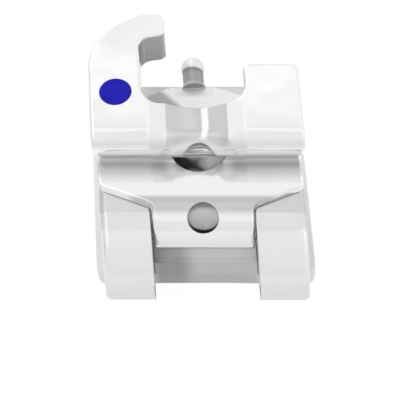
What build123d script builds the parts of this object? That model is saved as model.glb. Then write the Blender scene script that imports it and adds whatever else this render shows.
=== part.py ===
from build123d import *
import os
from math import atan2, cos, radians, sin, sqrt, tan

# Self-ligating orthodontic bracket, closed, in millimetres.
# +Z points away from the tooth, +Y towards the gum and +X along the archwire.
# The origin lies on the resting plane under the bonding pad.

# Lean of the bracket's long axis in plan, in degrees
TIP = 4.5

# Bonding pad
PAD_WIDTH = 3.57
PAD_GINGIVAL = 2.045
PAD_OCCLUSAL = 1.735
PAD_THICKNESS = 0.35
PAD_CORNER = 0.2
PAD_RIM = 0.2
TOOTH_RADIUS = 22.0
GROOVE_WIDTH = 0.16
GROOVE_DEPTH = 0.09
GROOVE_PITCH = 0.4

# Archwire slot
SLOT_HEIGHT = 0.56
SLOT_DEPTH = 0.71
SLOT_GINGIVAL = -0.38

# Spring clip
CLIP_THICKNESS = 0.14
CLIP_LEVEL = 0.8
CLIP_WIDTH = 1.59
CLIP_CLEARANCE = 0.03
BEND_RADIUS = 0.555
BAR_WIDTH = 3.26
BAR_SIDE = 0.69
BAR_SLANT = 0.34
BAR_OVERLAP = 0.04
BAR_CORNER = 0.12
CLIP_EDGE = 0.045
TAIL_FILLET = 0.14
MOUTH_RADIUS = 0.435
WINDOW_DIAMETER = 0.5
WINDOW_ANGLE = 40.0
ARM_END = 1.63
ARM_END_RADIUS = 1.6

# Push post on the end of the clip
POST_DIAMETER = 0.355
POST_FLARE = 0.04
POST_ROOT = 0.05
BALL_DIAMETER = 0.395
BALL_Y = 2.04

# Body
BODY_WIDTH = 3.14
NOSE_LENGTH = 0.275
FLOOR_OCCLUSAL = 0.46
ROOF_THICKNESS = 0.15
NECK_LENGTH = 0.72
PEDESTAL_GINGIVAL = 0.78
HEEL_EDGE = 0.08

# Occlusal tie wings
WING_WIDTH = 3.26
WING_GAP = 1.66
WING_RADIUS = 1.175
WING_THICKNESS = 0.36
WING_SWEEP = 88.0
WING_CREASE = 11.0
WING_TOP_RISE = 4.5
WING_CENTRE = 0.25
WING_NECK = 0.51
WING_UNDER_BAR = 0.05
WING_OUTER_EDGE = 0.1
WING_EDGE = 0.03

# Gingival block with its wings and hook
BLOCK_FRONT = 2.6
BLOCK_SET_BACK = 0.02
LIP_REACH = 0.346
LIP_RADIUS = 0.316
LIP_SWEEP = 158.0
LEFT_OUTER = 1.685
LEFT_INNER = 0.852
RIGHT_OUTER = 1.675
RIGHT_INNER = 0.796
RIGHT_END = 0.857
GAP_BOTTOM = 0.085
GAP_CORNER = 0.34
BLOCK_CORNER = 0.1
WING_INNER_CORNER = 0.1
BLOCK_EDGE = 0.05
BLOCK_BACK_EDGE = 0.06

# Elastic hook on the left wing
HOOK_TOP = 1.876
HOOK_RADIUS = 1.0
HOOK_TIP = 0.423
HOOK_TIP_RADIUS = 0.15
HOOK_MOUTH = 1.44
HOOK_MOUTH_DROP = 0.075
HOOK_THROAT = 0.18
HOOK_TIP_EDGE = 0.12

# Instrument channel and tool notch in the front of the block
CHANNEL_DEPTH = 0.16
CHANNEL_CHORD = 0.98
CHANNEL_SPREAD = 1.48
CHANNEL_TURN = 0.1
CHANNEL_SWEEP = 115.0
SHOULDER_DROP = 0.025
SHOULDER_CREASE = 2.5
NOTCH_RADIUS = 0.37
NOTCH_SET_BACK = 0.064
NOTCH_TAPER = 23.0
NOTCH_HEIGHT = 0.45

# Colour mark
DOT_DIAMETER = 0.51
DOT_OFFSET = -1.26
DOT_Y = 0.292
DOT_DEPTH = 0.05
DOT_PROUD = 0.01
DOT_CLEARANCE = 0.005

# Levels and places that follow from the sizes above
bar_face = CLIP_LEVEL + 2 * BEND_RADIUS
bar_back = bar_face - CLIP_THICKNESS
bend_z = CLIP_LEVEL + BEND_RADIUS
slot_floor = bar_back - SLOT_DEPTH
slot_occlusal = SLOT_GINGIVAL - SLOT_HEIGHT
bend_y = slot_occlusal - NOSE_LENGTH
bend_inner = BEND_RADIUS - CLIP_THICKNESS
nose_radius = bend_inner - CLIP_CLEARANCE
bar_edge = SLOT_GINGIVAL + BAR_OVERLAP
seat_y = bar_edge + CLIP_CLEARANCE
ledge_z = bar_back - CLIP_CLEARANCE
tunnel_floor = CLIP_LEVEL - CLIP_CLEARANCE
tunnel_roof = CLIP_LEVEL + CLIP_THICKNESS + CLIP_CLEARANCE
tunnel_width = CLIP_WIDTH + 2 * CLIP_CLEARANCE
post_z = CLIP_LEVEL + CLIP_THICKNESS / 2
block_back = bar_face - BLOCK_SET_BACK
neck_end = SLOT_GINGIVAL + NECK_LENGTH
lip_y = seat_y - LIP_REACH
lip_root = bar_face + CLIP_CLEARANCE
lip_radius = min(LIP_RADIUS, (BLOCK_FRONT - lip_root) / 2)
lip_axis = lip_y + lip_radius
lip_z = BLOCK_FRONT - lip_radius
wing_top = bar_back - WING_UNDER_BAR
wing_y = slot_occlusal - WING_CENTRE
wing_z = wing_top - WING_RADIUS
wing_neck_y = slot_occlusal - WING_NECK
floor_y = slot_occlusal - FLOOR_OCCLUSAL
pad_sag = TOOTH_RADIUS - sqrt(TOOTH_RADIUS**2 - (PAD_WIDTH / 2) ** 2)
reach = PAD_WIDTH + PAD_GINGIVAL


def leaning(offset, y):
    """Plan point at a distance to the right of the leaning long axis."""
    return (offset - y * tan(radians(TIP)), y)


def on_circle(centre_y, centre_z, radius, sweep):
    """Side-view point on a circle, swept from straight up towards the occlusal end."""
    return (centre_y - radius * sin(radians(sweep)), centre_z + radius * cos(radians(sweep)))


def strip(half_width, low, high):
    """Corners of a leaning strip, symmetric about the long axis."""
    return [
        leaning(-half_width, low),
        leaning(half_width, low),
        leaning(half_width, high),
        leaning(-half_width, high),
    ]


def walls(part):
    """Upright faces of a part."""
    return part.faces().filter_by(lambda face: abs(face.normal_at().Z) < 0.01)


def facing(part, direction):
    """Faces that look up (1) or down (-1), flat or curved."""
    return part.faces().filter_by(lambda face: face.normal_at().Z * direction > 0.1)


# Pad: a leaning rounded plate, hollowed to the tooth, with a retention grid underneath
groove_top = pad_sag + GROOVE_DEPTH
pad_middle = (PAD_GINGIVAL - PAD_OCCLUSAL) / 2
pad_length = PAD_GINGIVAL + PAD_OCCLUSAL
grid_width = PAD_WIDTH - 2 * PAD_RIM
grid_length = pad_length - 2 * PAD_RIM
columns = int((grid_width - GROOVE_WIDTH) / GROOVE_PITCH) + 1
rows = int((grid_length - GROOVE_WIDTH) / GROOVE_PITCH) + 1
column_span = (columns - 1) * GROOVE_PITCH + GROOVE_WIDTH
row_span = (rows - 1) * GROOVE_PITCH + GROOVE_WIDTH
pad_centre = leaning(0, pad_middle)
grid_plane = Plane(origin=(*pad_centre, 0), x_dir=(1, 0, 0), z_dir=(0, 0, 1))
tooth_axis = Plane(
    origin=(0, 0, pad_sag - TOOTH_RADIUS),
    x_dir=(cos(radians(TIP)), sin(radians(TIP)), 0),
    z_dir=(-sin(radians(TIP)), cos(radians(TIP)), 0),
)

with BuildPart() as bonding_pad:
    with BuildSketch() as pad_outline:
        with BuildLine():
            FilletPolyline(*strip(PAD_WIDTH / 2, -PAD_OCCLUSAL, PAD_GINGIVAL), radius=PAD_CORNER, close=True)
        make_face()
    extrude(amount=PAD_THICKNESS)
    with BuildSketch(tooth_axis):
        Circle(TOOTH_RADIUS)
    extrude(amount=reach, both=True, mode=Mode.SUBTRACT)
    with BuildSketch(grid_plane):
        with GridLocations(0, GROOVE_PITCH, 1, rows):
            Rectangle(column_span, GROOVE_WIDTH)
        with GridLocations(GROOVE_PITCH, 0, columns, 1):
            Rectangle(GROOVE_WIDTH, row_span)
    extrude(amount=groove_top, mode=Mode.SUBTRACT)
bonding_pad.part.label = "bonding_pad"

# Clip: T-shaped bar over the slot, bend round the nose, arm through the body and push post
tail_half = CLIP_WIDTH / 2
bar_half = BAR_WIDTH / 2
bar_low = bar_edge - BAR_SIDE
bend_end = bend_y - BEND_RADIUS

with BuildPart() as labial_arm:
    with BuildSketch(Plane.YZ):
        with BuildLine():
            Polyline((bend_end + CLIP_THICKNESS, bend_z), (bend_end, bend_z))
            ThreePointArc(
                (bend_end, bend_z),
                on_circle(bend_y, bend_z, BEND_RADIUS, 45),
                (bend_y, bar_face),
            )
            Polyline((bend_y, bar_face), (bar_edge, bar_face), (bar_edge, bar_back), (bend_y, bar_back))
            ThreePointArc(
                (bend_y, bar_back),
                on_circle(bend_y, bend_z, bend_inner, 45),
                (bend_end + CLIP_THICKNESS, bend_z),
            )
        make_face()
    extrude(amount=reach, both=True)
    with BuildSketch() as bar_outline:
        with BuildLine():
            Polyline(
                leaning(-tail_half, -reach),
                leaning(tail_half, -reach),
                leaning(tail_half, bar_low - BAR_SLANT),
                leaning(bar_half, bar_low),
                leaning(bar_half, bar_edge),
                leaning(-bar_half, bar_edge),
                leaning(-bar_half, bar_low),
                leaning(-tail_half, bar_low - BAR_SLANT),
                close=True,
            )
        make_face()
        for side in (-1, 1):
            inner_corner = leaning(side * tail_half, bar_low - BAR_SLANT)
            outer_corner = leaning(side * bar_half, bar_low)
            fillet(bar_outline.vertices().sort_by_distance(inner_corner)[0], TAIL_FILLET)
            fillet(bar_outline.vertices().sort_by_distance(outer_corner)[0], BAR_CORNER)
    extrude(amount=BLOCK_FRONT, mode=Mode.INTERSECT)

with BuildPart() as lingual_arm:
    with BuildSketch(Plane.YZ):
        with BuildLine():
            Polyline((bend_end, bend_z), (bend_end + CLIP_THICKNESS, bend_z))
            ThreePointArc(
                (bend_end + CLIP_THICKNESS, bend_z),
                on_circle(bend_y, bend_z, bend_inner, 135),
                (bend_y, CLIP_LEVEL + CLIP_THICKNESS),
            )
            Polyline(
                (bend_y, CLIP_LEVEL + CLIP_THICKNESS),
                (ARM_END, CLIP_LEVEL + CLIP_THICKNESS),
                (ARM_END, CLIP_LEVEL),
                (bend_y, CLIP_LEVEL),
            )
            ThreePointArc(
                (bend_y, CLIP_LEVEL),
                on_circle(bend_y, bend_z, BEND_RADIUS, 135),
                (bend_end, bend_z),
            )
        make_face()
    extrude(amount=reach, both=True)
    arm_shoulder = ARM_END - ARM_END_RADIUS + sqrt(ARM_END_RADIUS**2 - tail_half**2)
    with BuildSketch():
        with BuildLine():
            Polyline(
                leaning(tail_half, arm_shoulder),
                leaning(tail_half, -reach),
                leaning(-tail_half, -reach),
                leaning(-tail_half, arm_shoulder),
            )
            ThreePointArc(
                leaning(-tail_half, arm_shoulder),
                leaning(0, ARM_END),
                leaning(tail_half, arm_shoulder),
            )
        make_face()
    extrude(amount=BLOCK_FRONT, mode=Mode.INTERSECT)

# The post is turned about the arm's own centre line, from inside the arm's end to the ball
post_plane = Plane(
    origin=(*leaning(0, ARM_END), post_z),
    x_dir=(cos(radians(TIP)), sin(radians(TIP)), 0),
    z_dir=(0, 0, 1),
)
post_radius = POST_DIAMETER / 2
ball_radius = BALL_DIAMETER / 2
ball_along = (BALL_Y - ARM_END) / cos(radians(TIP))
ball_join = ball_along - sqrt(ball_radius**2 - post_radius**2)
window_y, window_z = on_circle(bend_y, bend_z, BEND_RADIUS, WINDOW_ANGLE)
window_plane = Plane(
    origin=(*leaning(0, window_y), window_z),
    x_dir=(1, 0, 0),
    z_dir=(0, -sin(radians(WINDOW_ANGLE)), cos(radians(WINDOW_ANGLE))),
)

with BuildPart() as spring_clip:
    add(labial_arm.part)
    add(lingual_arm.part)
    outer_bend = spring_clip.faces().sort_by(Axis.Y)[:1]
    bar_top = spring_clip.faces().sort_by(Axis.Z)[-1:]
    clip_sides = walls(spring_clip).filter_by(lambda face: face not in outer_bend)
    fillet((bar_top.edges() + outer_bend.edges()) & clip_sides.edges(), CLIP_EDGE)
    with BuildSketch(Plane.XY.offset(bar_back)):
        with Locations(leaning(0, bar_edge)):
            Circle(MOUTH_RADIUS)
    extrude(amount=CLIP_THICKNESS, mode=Mode.SUBTRACT)
    with BuildSketch(post_plane) as post_profile:
        with BuildLine():
            Polyline(
                (0, ball_along + ball_radius),
                (0, -POST_ROOT),
                (post_radius + POST_FLARE, -POST_ROOT),
                (post_radius, POST_FLARE),
                (post_radius, ball_join),
            )
            ThreePointArc(
                (post_radius, ball_join),
                (ball_radius * cos(radians(45)), ball_along + ball_radius * sin(radians(45))),
                (0, ball_along + ball_radius),
            )
        make_face()
    revolve(axis=Axis(post_plane.origin, post_plane.y_dir))
    with BuildSketch(window_plane):
        Circle(WINDOW_DIAMETER / 2)
    extrude(amount=BEND_RADIUS / 2, both=True, mode=Mode.SUBTRACT)
spring_clip.part.label = "spring_clip"

# Core of the body: stand on the pad, tunnel for the clip's arm, slot, neck and rounded nose
with BuildPart() as core:
    with BuildSketch(Plane.YZ):
        with BuildLine():
            Polyline(
                (floor_y, PAD_THICKNESS),
                (floor_y, tunnel_floor),
                (bend_y, tunnel_floor),
                (bend_y, slot_floor),
                (SLOT_GINGIVAL, slot_floor),
                (SLOT_GINGIVAL, ledge_z),
                (seat_y, ledge_z),
                (seat_y, lip_root),
                (neck_end, lip_root),
                (neck_end, tunnel_roof + ROOF_THICKNESS),
                (PEDESTAL_GINGIVAL, tunnel_roof + ROOF_THICKNESS),
                (PEDESTAL_GINGIVAL, PAD_THICKNESS),
                close=True,
            )
        make_face()
    extrude(amount=reach, both=True)
    with BuildSketch():
        with BuildLine():
            Polyline(*strip(BODY_WIDTH / 2, -reach, reach), close=True)
        make_face()
    extrude(amount=BLOCK_FRONT, mode=Mode.INTERSECT)

# Heel between the wings, flush with the pad's occlusal edge, under the clip's bend
with BuildPart() as heel:
    with BuildSketch(Plane.XY.offset(PAD_THICKNESS)):
        with BuildLine():
            Polyline(*strip(WING_GAP / 2, -PAD_OCCLUSAL, slot_occlusal), close=True)
        make_face()
    extrude(amount=tunnel_floor - PAD_THICKNESS)
    heel_fronts = heel.edges().filter_by(Axis.X).group_by(Axis.Y)[0]
    fillet(heel_fronts.sort_by(Axis.Z)[-1:], HEEL_EDGE)

with BuildPart() as nose:
    with BuildSketch(Plane.YZ):
        with BuildLine():
            Polyline(
                (bend_y, bend_z + nose_radius),
                (slot_occlusal, bend_z + nose_radius),
                (slot_occlusal, tunnel_roof),
                (bend_y, bend_z - nose_radius),
            )
            ThreePointArc(
                (bend_y, bend_z - nose_radius),
                (bend_y - nose_radius, bend_z),
                (bend_y, bend_z + nose_radius),
            )
        make_face()
    extrude(amount=reach, both=True)
    with BuildSketch():
        with BuildLine():
            Polyline(*strip(WING_GAP / 2, -reach, reach), close=True)
        make_face()
    extrude(amount=BLOCK_FRONT, mode=Mode.INTERSECT)

# Two hood-shaped tie wings, with the ligature groove between hood and neck
wing_inner = WING_RADIUS - WING_THICKNESS
wing_middle = WING_RADIUS - WING_THICKNESS / 2
groove_z = wing_z + sqrt(wing_inner**2 - (wing_y - wing_neck_y) ** 2)
groove_sweep = (WING_SWEEP + 20) / 2
crease_y, crease_z = on_circle(wing_y, wing_z, WING_RADIUS, WING_CREASE)
wing_back_z = crease_z + (slot_occlusal - crease_y) * tan(radians(WING_TOP_RISE))

with BuildPart() as occlusal_wings:
    with BuildSketch(Plane.YZ):
        with BuildLine():
            Polyline(
                (wing_neck_y, groove_z),
                (wing_neck_y, PAD_THICKNESS),
                (slot_occlusal, PAD_THICKNESS),
                (slot_occlusal, wing_back_z),
                (crease_y, crease_z),
            )
            ThreePointArc(
                (crease_y, crease_z),
                on_circle(wing_y, wing_z, WING_RADIUS, WING_SWEEP / 2),
                on_circle(wing_y, wing_z, WING_RADIUS, WING_SWEEP),
            )
            Line(
                on_circle(wing_y, wing_z, WING_RADIUS, WING_SWEEP),
                on_circle(wing_y, wing_z, wing_inner, WING_SWEEP),
            )
            ThreePointArc(
                on_circle(wing_y, wing_z, wing_inner, WING_SWEEP),
                on_circle(wing_y, wing_z, wing_inner, groove_sweep),
                (wing_neck_y, groove_z),
            )
        make_face()
    extrude(amount=reach, both=True)
    with BuildSketch():
        for side in (-1, 1):
            with BuildLine():
                Polyline(
                    leaning(side * WING_GAP / 2, -reach),
                    leaning(side * WING_WIDTH / 2, -reach),
                    leaning(side * WING_WIDTH / 2, reach),
                    leaning(side * WING_GAP / 2, reach),
                    close=True,
                )
            make_face()
    extrude(amount=BLOCK_FRONT, mode=Mode.INTERSECT)
    rounds = occlusal_wings.faces().filter_by(GeomType.CYLINDER)
    hoods = rounds.filter_by(lambda face: face.radius > wing_middle)
    sides = occlusal_wings.faces().filter_by(lambda face: abs(face.normal_at().X) > 0.9)
    outer_sides = sides.filter_by(lambda face: face.normal_at().X * face.center().X > 0)
    tops = facing(occlusal_wings, 1).filter_by(GeomType.PLANE)
    fillet((hoods.edges() + tops.edges()) & outer_sides.edges(), WING_OUTER_EDGE)
    wing_edges = occlusal_wings.edges().filter_by(Axis.X)
    fillet(wing_edges.filter_by(lambda edge: edge.center().Y < wing_y - wing_inner), WING_EDGE)

# Gingival block: side view with the lip, plan with gap and hook, front with the channel
half_chord = CHANNEL_CHORD / 2
half_spread = CHANNEL_SPREAD / 2
shoulder_z = BLOCK_FRONT - SHOULDER_DROP
clear_z = BLOCK_FRONT + CHANNEL_DEPTH
turn_axis = Axis((0, lip_axis, lip_z - CHANNEL_TURN), (1, 0, 0))
channel_plane = Plane(origin=(*leaning(0, lip_axis), 0), x_dir=(1, 0, 0), z_dir=(0, -1, 0))
crease_slope = tan(radians(SHOULDER_CREASE))
long_axis = (-sin(radians(TIP)), cos(radians(TIP)), 0)
hook_end = HOOK_TOP + BLOCK_FRONT - block_back
block_low = lip_y - lip_radius
rounded_corners = {
    leaning(RIGHT_OUTER, RIGHT_END): BLOCK_CORNER,
    leaning(RIGHT_INNER, RIGHT_END): WING_INNER_CORNER,
    leaning(RIGHT_INNER, GAP_BOTTOM): GAP_CORNER,
    leaning(-LEFT_INNER, GAP_BOTTOM): GAP_CORNER,
    leaning(-LEFT_INNER, HOOK_MOUTH - HOOK_MOUTH_DROP): HOOK_THROAT,
    leaning(-HOOK_TIP, HOOK_MOUTH): HOOK_TIP_EDGE,
    leaning(-HOOK_TIP, HOOK_TOP): HOOK_TIP_RADIUS,
    leaning(-LEFT_OUTER, HOOK_TOP): HOOK_RADIUS,
}

with BuildPart() as gingival_block:
    with BuildSketch(Plane.YZ):
        with BuildLine():
            Polyline(
                (lip_axis, BLOCK_FRONT),
                (hook_end, BLOCK_FRONT),
                (hook_end, block_back),
                (seat_y, block_back),
                (seat_y, lip_root),
                on_circle(lip_axis, lip_z, lip_radius, LIP_SWEEP),
            )
            ThreePointArc(
                on_circle(lip_axis, lip_z, lip_radius, LIP_SWEEP),
                on_circle(lip_axis, lip_z, lip_radius, LIP_SWEEP / 2),
                (lip_axis, BLOCK_FRONT),
            )
        make_face()
    extrude(amount=reach, both=True)
    with BuildSketch() as block_outline:
        with BuildLine():
            Polyline(
                leaning(-LEFT_OUTER, block_low),
                leaning(RIGHT_OUTER, block_low),
                *rounded_corners,
                close=True,
            )
        make_face()
        for corner, radius in rounded_corners.items():
            fillet(block_outline.vertices().sort_by_distance(corner)[0], radius)
    extrude(amount=2 * BLOCK_FRONT, mode=Mode.INTERSECT)
    fillet(walls(gingival_block).edges() & facing(gingival_block, 1).edges(), BLOCK_EDGE)
    back_outline = walls(gingival_block).edges() & facing(gingival_block, -1).edges()
    chamfer(back_outline.filter_by(lambda edge: edge.center().Y > neck_end), BLOCK_BACK_EDGE)
    with BuildSketch(channel_plane) as channel:
        with BuildLine():
            TangentArc((half_spread, BLOCK_FRONT), (half_chord, shoulder_z), tangent=(-1, -crease_slope))
            ThreePointArc(
                (half_chord, shoulder_z),
                (0, BLOCK_FRONT - CHANNEL_DEPTH),
                (-half_chord, shoulder_z),
            )
            TangentArc((-half_spread, BLOCK_FRONT), (-half_chord, shoulder_z), tangent=(1, -crease_slope))
            Polyline(
                (-half_spread, BLOCK_FRONT),
                (-half_spread, clear_z),
                (half_spread, clear_z),
                (half_spread, BLOCK_FRONT),
            )
        make_face()
    extrude(amount=RIGHT_END - lip_axis, dir=long_axis, mode=Mode.SUBTRACT)
    revolve(channel.sketch, axis=turn_axis, revolution_arc=CHANNEL_SWEEP, mode=Mode.SUBTRACT)
    with BuildSketch(Plane.XY.offset(lip_root)):
        with Locations(leaning(0, lip_y - NOTCH_SET_BACK)):
            Circle(NOTCH_RADIUS)
    extrude(amount=NOTCH_HEIGHT, taper=NOTCH_TAPER, mode=Mode.SUBTRACT)

# One-piece moulded body, with the tunnel for the clip and the recess for the colour mark
dot_place = leaning(DOT_OFFSET, DOT_Y)

with BuildPart() as bracket_body:
    add(core.part)
    add(heel.part)
    add(nose.part)
    add(occlusal_wings.part)
    add(gingival_block.part)
    with BuildSketch(Plane.XY.offset(tunnel_floor)):
        with BuildLine():
            Polyline(*strip(tunnel_width / 2, bend_y, reach), close=True)
        make_face()
    extrude(amount=tunnel_roof - tunnel_floor, mode=Mode.SUBTRACT)
    with BuildSketch(Plane.XY.offset(BLOCK_FRONT - DOT_DEPTH)):
        with Locations(dot_place):
            Circle(DOT_DIAMETER / 2)
    extrude(amount=DOT_DEPTH, mode=Mode.SUBTRACT)
bracket_body.part.label = "bracket_body"

# Enamel mark that fills the recess and stands a little proud
with BuildPart() as colour_dot:
    with BuildSketch(Plane.XY.offset(BLOCK_FRONT - DOT_DEPTH)):
        with Locations(dot_place):
            Circle(DOT_DIAMETER / 2 - DOT_CLEARANCE)
    extrude(amount=DOT_DEPTH + DOT_PROUD)
colour_dot.part.label = "colour_dot"

os.makedirs("parts", exist_ok=True)
export_step(bonding_pad.part, "parts/bonding_pad.step")
export_step(bracket_body.part, "parts/bracket_body.step")
export_step(spring_clip.part, "parts/spring_clip.step")
export_step(colour_dot.part, "parts/colour_dot.step")
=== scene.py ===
import math
from functools import cached_property, reduce
from operator import mul

import bpy
from mathutils import Matrix, Vector

# Self-ligating orthodontic bracket on a light table, seen from the occlusal side.
# The frame is in metres; sizes and places below are in millimetres unless a name says otherwise.
MM = 0.001
LEAN = math.tan(math.radians(4.5))
# BLACK is the colour that painted shade mixes towards.
BLACK = (0, 0, 0, 1)
WHITE = (1, 1, 1, 1)

# A pair says where a zone starts and where it is full.
# A zone has one or more pairs for each measure; the measures are set in Steel and white_tent.

# Front of the block
LIP_FOOT = (1.9, 1.95)
LIP = {"height": [(2.59, 2.52), LIP_FOOT], "along": [(-0.36, -0.4), (-0.9, -0.8)]}
LIP_UNDER = {"height": [(2.4, 2.34), LIP_FOOT], "along": [(-0.3, -0.34)]}
LIP_BROW = {"height": [(2.52, 2.43), (2.3, 2.38)], "along": [(-0.5, -0.54)]}
FRONT = {"height": [(2.0, 2.05)], "along": [(0.14, 0.1)]}
CHANNEL_SIDE = (0.495, 0.475)
CHANNEL_SPREAD = 0.14
CHANNEL_SPREAD_HEIGHT = (2.55, 2.2)
CHANNEL_FOOT = (2.1, 2.2)
CHANNEL_RIGHT = (0.1, 0.25)
CHANNEL_LOWER_PART = (2.44, 2.3)
SHOULDER_SIDE = (0.82, 0.72)

# Notch in the lip, and the slot's wall seen through the mouth of the bar
NOTCH_TOP = (2.44, 2.38)
NOTCH = {"reach": [(0.4, 0.36)], "along": [(-0.3, -0.4)], "height": [NOTCH_TOP, (1.9, 2.0)]}
NOTCH_WALL = {
    "reach": [(0.42, 0.38)],
    "facing_hook": [(-0.5, -0.7)],
    "height": [(1.78, 1.8), NOTCH_TOP],
    "along": [(-0.5, -0.45)],
}
NOTCH_WALL_MIDDLE = 2.1
SLOT_WALL = {
    "reach": [(0.5, 0.4)],
    "facing_hook": [(-0.6, -0.8)],
    "height": [(1.2, 1.3), (1.78, 1.76)],
    "along": [(-0.48, -0.42), (-0.3, -0.34)],
}
SLOT_WALL_MIDDLE = 1.5
SLOT_WALL_RIGHT = (-0.3, 0.15)

# Gap between the hook and the right wing
UPRIGHT_WALL = {"facing_up": [(0.4, 0.3)], "height": [(1.3, 1.5)]}
GAP_SIDE = {"facing_side": [(0.6, 0.8)], "along": [(0.1, 0.3)], "reach": [(1.02, 0.98)]}
HOOK_MOUTH = {"facing_hook": [(-0.3, -0.6)], "along": [(1.0, 1.1)]}

# Tie wings and the recess between them
OCCLUSAL_END = {"along": [(-0.9, -0.95)], "height": [(1.8, 1.76)]}
RECESS_SIDE = (0.85, 0.82)
RECESS_LEFT = (-0.1, -0.45)
LEDGE = {"height": [(0.7, 0.75), (0.95, 0.9)]}
LEDGE_EDGE = -1.7
WING_CREASE = -1.41
WING_TOP = {"along": [(WING_CREASE, WING_CREASE + 0.005)], "height": [(1.62, 1.66)]}
WING_BACK = {"along": [(-1.72, -1.62)]}
WING_LOWER_END = {"height": [(1.3, 0.7)]}

# Pad
PAD_RECESS = {"reach": [(1.0, 0.75)], "along": [(-1.3, -1.55)]}
PAD_UNDER_ARM = {"reach": [(1.5, 0.6)], "along": [(0.8, 1.8)]}
PAD_UNDER_ARM_LEFT = (-0.3, -0.6)

# Clip: bar, bend and tail, arm, post and ball
BAR_SEAT = {"height": [(1.75, 1.8)], "along": [(-0.92, -0.72), (-0.48, -0.64)], "reach": [(0.42, 0.6)]}
BAR_SIDE_FOOT = 1.76
BAR_SIDE = {"facing_up": [(0.6, 0.4)], "height": [(1.73, BAR_SIDE_FOOT)]}
BAR_RIGHT = (0.3, 0.6)
BEND_BAND = {"along": [(-1.19, -1.28), (-1.58, -1.4)], "height": [(1.5, 1.6)]}
BEND_CROWN = {"along": [(-1.46, -1.52), (-1.63, -1.57)]}
TAIL = {"height": [(1.6, 1.2)], "along": [(-1.3, -1.4)]}
ARM = {"height": [(1.15, 1.05)], "along": [(-1.2, -0.9)]}
ARM_SHADE_SLANT = 0.9
ARM_SHADE_ALONG = 1.42
ARM_SHADE_LEFT = (-0.36, -0.54)
POST = {"along": [(1.66, 1.69)]}
POST_ROOT = {"along": [(1.55, 1.57), (1.69, 1.66)], "height": [(0.945, 0.955)]}
POST_FOOT = {"along": [(1.34, 1.44)], "reach": [(0.4, 0.3)]}
BALL_BAND = {"along": [(1.87, 1.9), (1.97, 1.94)]}
BALL_CAP = {"along": [(1.94, 1.98)]}

# Tent, by the direction of a ray: across to the right, away past the hook
BRIGHT_SIDE = {"across": [(0.58, 0.76)]}
DIM_SIDE = {"across": [(-0.66, -0.84)]}
STRIP_LIGHT = {"across": [(-0.36, -0.33), (-0.16, -0.19)], "away": [(-0.75, -0.6)]}
OVERHEAD = {"away": [(-0.3, -0.2), (0.18, 0.1)]}
BEHIND = {"away": [(-0.05, 0.42)]}
FAR_BEHIND = {"away": [(0.585, 0.592)]}
BRIGHT_BAND = {"away": [(0.585, 0.592), (0.612, 0.604)]}

# Width of the softened edges, and the darker and lighter colour of each finish; on the steels the mix towards
# the lighter colour also carries painted highlights.
BODY_EDGE = 0.03
BODY_STEEL = ((0.7, 0.7, 0.707, 1), (0.9, 0.9, 0.905, 1))
PAD_EDGE = 0.02
PAD_STEEL = ((0.6, 0.6, 0.607, 1), (0.74, 0.74, 0.745, 1))
CLIP_EDGE = 0.022
CLIP_STEEL = ((0.73, 0.73, 0.737, 1), (0.91, 0.91, 0.915, 1))
DOT_EDGE = 0.02
DOT_BLUE = ((0.006, 0.005, 0.28, 1), (0.011, 0.01, 0.46, 1))
EDGE_SAMPLES = 6
EDGE_TURN = (0.0, 0.12)

# Table
TABLE_WIDTH = 1000.0 * MM
TABLE_GREY = (0.05, 0.05, 0.05, 1)
TABLE_GLOW = 0.96

# Camera
TARGET = Vector((0.04, -0.85, 1.2)) * MM
ELEVATION = math.radians(57.0)
DISTANCE = 30.0 * MM
SIDE_STEP = 1.2 * MM
FRAME_WIDTH = 6.45 * MM
SENSOR_WIDTH = 36.0
NEAR_LIMIT = 1.0 * MM
FAR_LIMIT = 10000.0 * MM

# Outputs of Texture Coordinate and Geometry nodes, by number
RAY = 0
OBJECT_PLACE = 3
SMOOTH_NORMAL = 1
TRUE_NORMAL = 3

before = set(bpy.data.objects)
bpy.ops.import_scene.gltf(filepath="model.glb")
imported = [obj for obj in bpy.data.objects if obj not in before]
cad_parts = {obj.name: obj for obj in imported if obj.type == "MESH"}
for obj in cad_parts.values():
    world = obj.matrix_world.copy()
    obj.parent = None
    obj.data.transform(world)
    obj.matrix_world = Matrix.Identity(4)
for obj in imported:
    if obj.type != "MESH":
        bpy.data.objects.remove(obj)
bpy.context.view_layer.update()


# Shader expressions
class Term:
    """A value socket; its operators add Math nodes to the same tree."""

    def __init__(self, finish, socket):
        self.finish = finish
        self.socket = socket

    def _with(self, operation, first, second):
        return self.finish.node("ShaderNodeMath", {"operation": operation}, {0: first, 1: second})

    def __add__(self, other):
        return self._with("ADD", self, other)

    def __radd__(self, other):
        return self._with("ADD", other, self)

    def __sub__(self, other):
        return self._with("SUBTRACT", self, other)

    def __rsub__(self, other):
        return self._with("SUBTRACT", other, self)

    def __mul__(self, other):
        return self._with("MULTIPLY", self, other)

    def __rmul__(self, other):
        return self._with("MULTIPLY", other, self)

    def __abs__(self):
        return self._with("ABSOLUTE", self, 0.0)

    def over(self, other):
        return self._with("MAXIMUM", self, other)

    def step(self, start, full):
        """0 before start, 1 past full, smooth between; start may lie above full."""
        if start > full:
            return 1 - self.step(full, start)
        return self.finish.node(
            "ShaderNodeMapRange",
            {"interpolation_type": "SMOOTHSTEP"},
            {"Value": self, "From Min": start, "From Max": full},
        )


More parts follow.
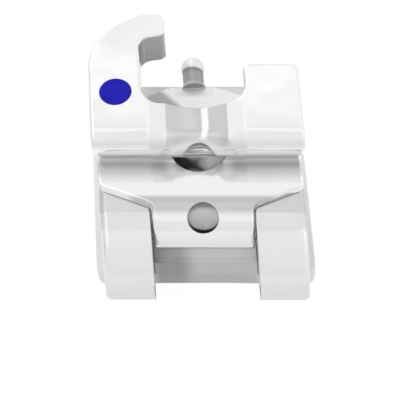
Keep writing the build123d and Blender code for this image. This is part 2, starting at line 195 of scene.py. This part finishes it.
class Finish:
    """A node tree with one method for every kind of node."""

    def __init__(self, tree):
        self.tree = tree

    def node(self, kind, settings=None, sockets=None, out=0):
        made = self.tree.nodes.new(kind)
        for name, value in (settings or {}).items():
            setattr(made, name, value)
        for name, value in (sockets or {}).items():
            if isinstance(value, Term):
                self.tree.links.new(value.socket, made.inputs[name])
            else:
                made.inputs[name].default_value = value
        return Term(self, made.outputs[out])

    def mix_colour(self, amount, first, second):
        return self.node(
            "ShaderNodeMix",
            {"data_type": "RGBA"},
            {0: amount, 6: first, 7: second},
            out=2,
        )

    def noise(self, where, scale, detail):
        return self.node("ShaderNodeTexNoise", None, {"Vector": where, "Scale": scale, "Detail": detail})

    def stretched(self, where, stretch):
        return self.node("ShaderNodeVectorMath", {"operation": "MULTIPLY"}, {0: where, 1: stretch})

    def coordinates(self, where):
        """The three coordinates of a place or a direction, as values."""
        parts = self.node("ShaderNodeSeparateXYZ", None, {0: where}).socket.node
        return [Term(self, out) for out in parts.outputs]

    def zone(self, limits):
        """1 within all the limits, 0 outside them, smooth between."""
        steps = [getattr(self, name).step(*pair) for name, pairs in limits.items() for pair in pairs]
        return reduce(mul, steps)


class Surface(Finish):
    """A material with one Principled shader."""

    def __init__(self, name):
        self.material = bpy.data.materials.new(name)
        self.material.use_nodes = True
        super().__init__(self.material.node_tree)
        self.shader = next(node for node in self.tree.nodes if node.type == "BSDF_PRINCIPLED")

    @cached_property
    def place(self):
        """Where a point lies on the part, in millimetres."""
        return self.stretched(self.node("ShaderNodeTexCoord", out=OBJECT_PLACE), (1 / MM,) * 3)

    def set(self, **values):
        for name, value in values.items():
            socket = self.shader.inputs[name.replace("_", " ")]
            if isinstance(value, Term):
                self.tree.links.new(value.socket, socket)
            else:
                socket.default_value = value

    def soft_edges(self, radius):
        """Normal rounded over the edges, and how far each point is turned by it."""
        rounded = self.node("ShaderNodeBevel", {"samples": EDGE_SAMPLES}, {"Radius": radius * MM})
        smooth = self.node("ShaderNodeNewGeometry", out=SMOOTH_NORMAL)
        same = self.node("ShaderNodeVectorMath", {"operation": "DOT_PRODUCT"}, {0: rounded, 1: smooth}, out=1)
        return rounded, (1 - same).step(*EDGE_TURN)

    def bump(self, height, normal):
        return self.node("ShaderNodeBump", None, {"Distance": MM, "Height": height, "Normal": normal})


class Steel(Surface):
    """A surface with the measures for its zones.

    In millimetres, offset is the distance right of the leaning long axis, reach the distance to
    either side of it, along the distance towards the hook, and height the distance above the table.
    The others say how far a face looks to either side, towards the hook, and up or down.
    """

    def __init__(self, name):
        super().__init__(name)
        right, self.along, self.height = self.coordinates(self.place)
        self.offset = right + self.along * LEAN
        self.reach = abs(self.offset)
        facing = self.coordinates(self.node("ShaderNodeNewGeometry", out=TRUE_NORMAL))
        self.facing_side = abs(facing[0])
        self.facing_hook = facing[1]
        self.facing_up = abs(facing[2])


# Finishes
def polished_steel():
    """Moulded steel, tumbled bright outside, rougher in the recess, slot, notch, hook mouth, shoulders and
    wing tops. Painted shade darkens the channel, recess, wing tops and wing ends and the walls of the slot,
    notch and gap; painted highlights lighten the edges and the lip.
    """
    body = Steel("polished_steel_finish")
    normal, edge = body.soft_edges(BODY_EDGE)
    cloud = body.noise(body.place, 0.9, 3.0)
    patch = body.noise(body.place, 2.6, 1.0)
    grain = body.noise(body.place, 38.0, 2.0)
    lines = body.noise(body.stretched(body.place, (60.0, 3.0, 3.0)), 1.0, 2.0)
    wave = body.noise(body.place, 1.3, 1.0)

    front = body.zone(FRONT)
    spread = body.height.step(*CHANNEL_SPREAD_HEIGHT) * CHANNEL_SPREAD
    channel = front * (body.reach - spread).step(*CHANNEL_SIDE) * body.height.step(*CHANNEL_FOOT)
    shoulder = front * body.reach.step(*SHOULDER_SIDE) * (1 - channel)
    notch_wall = body.zone(NOTCH_WALL)
    slot_wall = body.zone(SLOT_WALL)
    upright = body.zone(UPRIGHT_WALL)
    hook_mouth = upright * body.zone(HOOK_MOUTH)
    occlusal_end = body.zone(OCCLUSAL_END)
    recess = occlusal_end * body.reach.step(*RECESS_SIDE)
    ledge = recess * body.zone(LEDGE)
    wing = occlusal_end * (1 - recess)
    wing_top = wing * body.zone(WING_TOP)

    channel_right = body.offset.step(*CHANNEL_RIGHT)
    channel_lower_part = body.height.step(*CHANNEL_LOWER_PART)
    # Painted shade: the base colour is mixed towards black in the channel, on the shoulders and lip brow, on
    # the wing tops, backs and lower ends, in the recess (darker at its left end, a little less on the ledge)
    # and on the walls of the slot, notch, hook mouth and gap, where shade and dark reflections fall.
    painted_shade = (
        upright * body.zone(GAP_SIDE) * 0.25
        + hook_mouth * 0.22
        + slot_wall * 0.45
        + notch_wall * 0.1
        + channel * (0.31 - channel_right * 0.03 - channel_lower_part * 0.14)
        + shoulder * 0.04
        + body.zone(LIP_BROW) * (1 - channel) * 0.09
        + wing * body.zone(WING_BACK) * 0.18
        + wing_top * 0.12
        + wing * body.zone(WING_LOWER_END) * 0.1
        + recess * (0.4 + body.offset.step(*RECESS_LEFT) * 0.25 - ledge * 0.08)
    )
    # Tone: random cloud, patch and grain, plus painted highlights: lighter edges, a lighter lip and a much
    # lighter lip underside.
    tone = (
        0.4
        + (cloud - 0.5) * 0.2
        + (patch - 0.5) * 0.3
        + (grain - 0.5) * 0.05
        + edge * 0.15
        + body.zone(LIP_UNDER) * 0.6
        + body.zone(LIP) * 0.15
    )
    colour = body.mix_colour(tone, *BODY_STEEL)
    rounding = (
        wing_top * (body.along - WING_CREASE) * 0.32
        + ledge * (body.along - LEDGE_EDGE) * 0.8
        - slot_wall * body.offset.step(*SLOT_WALL_RIGHT) * (body.height - SLOT_WALL_MIDDLE) * 1.3
        - notch_wall * (body.height - NOTCH_WALL_MIDDLE) * 0.6
    )
    body.set(
        Base_Color=body.mix_colour(painted_shade, colour, BLACK),
        Roughness=(
            0.08
            + (cloud - 0.5) * 0.03
            + (lines - 0.5) * 0.03
            + shoulder * 0.5
            + (recess + hook_mouth + body.zone(NOTCH) + slot_wall) * 0.3
            + wing_top * 0.22
        ),
        Metallic=1.0,
        Normal=body.bump(wave * 0.006 + grain * 0.00004 + rounding, normal),
    )
    return body.material


def pad_steel():
    """Satin foil of the bonding pad, fine blasted, with painted shade in the recess and under the arm and
    painted highlights on the edges.
    """
    pad = Steel("pad_steel_finish")
    normal, edge = pad.soft_edges(PAD_EDGE)
    cloud = pad.noise(pad.place, 1.4, 3.0)
    grain = pad.noise(pad.place, 55.0, 3.0)
    # Painted shade in the recess and under the arm, darker towards their left ends.
    painted_shade = (
        pad.zone(PAD_RECESS) * (0.36 + pad.offset.step(*RECESS_LEFT) * 0.2)
        + pad.zone(PAD_UNDER_ARM) * (0.18 + pad.offset.step(*PAD_UNDER_ARM_LEFT) * 0.2)
    )
    # Random tone, plus painted highlights on the edges.
    tone = 0.45 + (cloud - 0.5) * 0.3 + (grain - 0.5) * 0.2 + edge * 0.5
    colour = pad.mix_colour(tone, *PAD_STEEL)
    pad.set(
        Base_Color=pad.mix_colour(painted_shade, colour, BLACK),
        Roughness=0.34 + (grain - 0.5) * 0.1,
        Metallic=1.0,
        Normal=pad.bump(grain * 0.0008, normal),
    )
    return pad.material


def spring_steel():
    """Rolled spring strip: bright bar, plain arm, rougher post; painted shade on the bar's seat, a band along
    the bend, the tail, the arm, the post and a band round the ball, and painted highlights on the edges, the
    bend's crown, the ball's cap and the post's foot.
    """
    clip = Steel("spring_steel_finish")
    normal, edge = clip.soft_edges(CLIP_EDGE)
    cloud = clip.noise(clip.place, 1.1, 2.0)
    lines = clip.noise(clip.stretched(clip.place, (70.0, 2.0, 2.0)), 1.0, 3.0)

    seat = clip.zone(BAR_SEAT)
    bar_side = clip.zone(BAR_SIDE) * (1 - clip.offset.step(*BAR_RIGHT) * 0.65)
    arm = clip.zone(ARM)
    slanted = clip.offset + (clip.along - ARM_SHADE_ALONG) * ARM_SHADE_SLANT
    post = clip.zone(POST)
    root = clip.zone(POST_ROOT)
    foot = arm * clip.zone(POST_FOOT) * (1 - post) * (1 - root)
    ball_cap = clip.zone(BALL_CAP)

    # Painted shade: darker bar seat under the lip, a band along the bend, the tail, the arm with a dark patch
    # on its left, the post and its root, and a band round the ball; the ball's cap is lightened by painted
    # highlight.
    painted_shade = (
        seat * 0.25
        + clip.zone(BEND_BAND) * 0.38
        + clip.zone(TAIL) * 0.12
        + arm * (0.15 - clip.offset * 0.05)
        + arm * slanted.step(*ARM_SHADE_LEFT) * 0.42
        + post * 0.45
        + root * 0.35
        + clip.zone(BALL_BAND) * 0.1
        - ball_cap * 0.4
    )
    # Random tone and rolling lines, plus painted highlights: lighter edges, the crown of the bend, the ball's
    # cap and the post's foot.
    tone = (
        0.4
        + (cloud - 0.5) * 0.2
        + (lines - 0.5) * 0.14
        + edge * 0.3
        + clip.zone(BEND_CROWN) * 0.4
        + ball_cap * 0.6
        + foot * 0.25
    )
    colour = clip.mix_colour(tone, *CLIP_STEEL)
    rounding = bar_side * (clip.height - BAR_SIDE_FOOT) * 0.9
    clip.set(
        Base_Color=clip.mix_colour(painted_shade, colour, BLACK),
        Roughness=0.12 + (lines - 0.5) * 0.05 - edge * 0.03 + (post + root) * 0.3 + foot * 0.5 + seat * 0.1,
        Metallic=1.0,
        Normal=clip.bump(lines * 0.00012 + cloud * 0.003 - rounding, normal),
    )
    return clip.material


def blue_enamel():
    """Baked enamel of the colour mark, a little uneven."""
    dot = Surface("blue_enamel_finish")
    normal = dot.soft_edges(DOT_EDGE)[0]
    cloud = dot.noise(dot.place, 7.0, 3.0)
    grain = dot.noise(dot.place, 40.0, 2.0)
    tone = 0.5 + (cloud - 0.5) * 1.8
    dot.set(
        Base_Color=dot.mix_colour(tone, *DOT_BLUE),
        Roughness=0.4 + (grain - 0.5) * 0.15,
        Metallic=0.0,
        Specular_IOR_Level=0.1,
        Normal=dot.bump(grain * 0.0006 + cloud * 0.003, normal),
    )
    return dot.material


def dress(node, material):
    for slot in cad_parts[node].material_slots:
        slot.material = material


dress("bracket_body", polished_steel())
dress("bonding_pad", pad_steel())
dress("spring_clip", spring_steel())
dress("colour_dot", blue_enamel())


# Studio
def photo_camera():
    """Camera above and in front, a step to the right, with the part's width level in the picture."""
    data = bpy.data.cameras.new("photo_camera")
    camera = bpy.data.objects.new("photo_camera", data)
    bpy.context.scene.collection.objects.link(camera)
    raised = Vector((0, -math.cos(ELEVATION), math.sin(ELEVATION)))
    camera.location = TARGET + raised * DISTANCE + Vector((SIDE_STEP, 0, 0))
    back = (camera.location - TARGET).normalized()
    right = (Vector((1, 0, 0)) - back * back.x).normalized()
    camera.rotation_mode = "QUATERNION"
    camera.rotation_quaternion = Matrix((right, back.cross(right), back)).transposed().to_quaternion()
    data.sensor_width = SENSOR_WIDTH
    data.lens = SENSOR_WIDTH * DISTANCE / FRAME_WIDTH
    data.clip_start = NEAR_LIMIT
    data.clip_end = FAR_LIMIT
    bpy.context.scene.camera = camera


def light_table():
    """A pale table top, lit from below as well as from above."""
    bpy.ops.mesh.primitive_plane_add(size=TABLE_WIDTH, location=(0, 0, 0))
    table = bpy.context.object
    table.name = "light_table"
    top = Surface("light_table_finish")
    top.set(
        Base_Color=TABLE_GREY,
        Roughness=0.9,
        Specular_IOR_Level=0.0,
        Emission_Color=WHITE,
        Emission_Strength=TABLE_GLOW,
    )
    table.data.materials.append(top.material)


def white_tent():
    """Soft light from all round, brighter behind the part, with a strip light left of the middle."""
    world = bpy.data.worlds.new("white_tent")
    bpy.context.scene.world = world
    world.use_nodes = True
    tent = Finish(world.node_tree)
    tent.across, tent.away, up = tent.coordinates(tent.node("ShaderNodeTexCoord", out=RAY))
    front_level = 0.95 + up.over(0.0) * 0.08
    back_level = 1.08 + tent.zone(FAR_BEHIND) * 0.04 + tent.zone(BRIGHT_BAND) * 0.2
    level = (
        front_level
        + tent.zone(BEHIND) * (back_level - front_level)
        + tent.zone(OVERHEAD) * 0.15
        + tent.zone(BRIGHT_SIDE) * 0.1
        - tent.zone(DIM_SIDE) * 0.18
        + tent.zone(STRIP_LIGHT) * 0.75
    )
    background = next(node for node in world.node_tree.nodes if node.type == "BACKGROUND")
    world.node_tree.links.new(level.socket, background.inputs["Strength"])
    background.inputs["Color"].default_value = WHITE


photo_camera()
light_table()
white_tent()
bpy.context.scene.view_settings.view_transform = "Standard"
